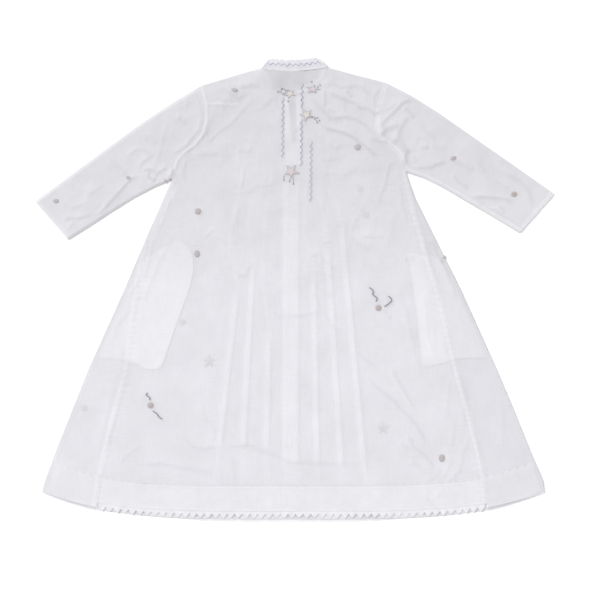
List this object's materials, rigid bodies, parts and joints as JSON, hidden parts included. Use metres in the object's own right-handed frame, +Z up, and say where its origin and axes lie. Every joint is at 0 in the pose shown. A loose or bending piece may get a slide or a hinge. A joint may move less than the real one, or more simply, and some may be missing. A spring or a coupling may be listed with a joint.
{
  "type": "embroidered dress",
  "caption": "Sheer white long-sleeved A-line dress laid flat with its back up, with a stand collar, pressed front pleats, pocket bags, toothed hem facing and scattered embroidery.",
  "frame": {"origin": "middle of the bounding box's base, on the surface the dress lies on", "axes": "+X across the dress from cuff to cuff, to the right as pictured; +Y from hem to collar; +Z up from the surface, through the front layer to the back layer on top"},
  "size_m": [1.039, 0.9279, 0.0087],
  "materials": {
    "voile_body": "matt woven cotton",
    "voile_sleeves": "matt woven cotton",
    "collar": "matt woven cotton",
    "facings": "matt woven cotton",
    "pocket_bags": "matt woven cotton"
  },
  "bodies": {
    "root": {"back_panel": "voile_body", "front_panel": "voile_body", "gore_left": "voile_body", "gore_right": "voile_body", "sleeve_left": "voile_sleeves", "sleeve_right": "voile_sleeves", "collar_stand": "collar", "front_placket": "facings", "pocket_bag_left": "pocket_bags", "pocket_bag_right": "pocket_bags", "back_hem_facing": "facings", "front_hem_facing": "facings"}
  },
  "joints": []
}
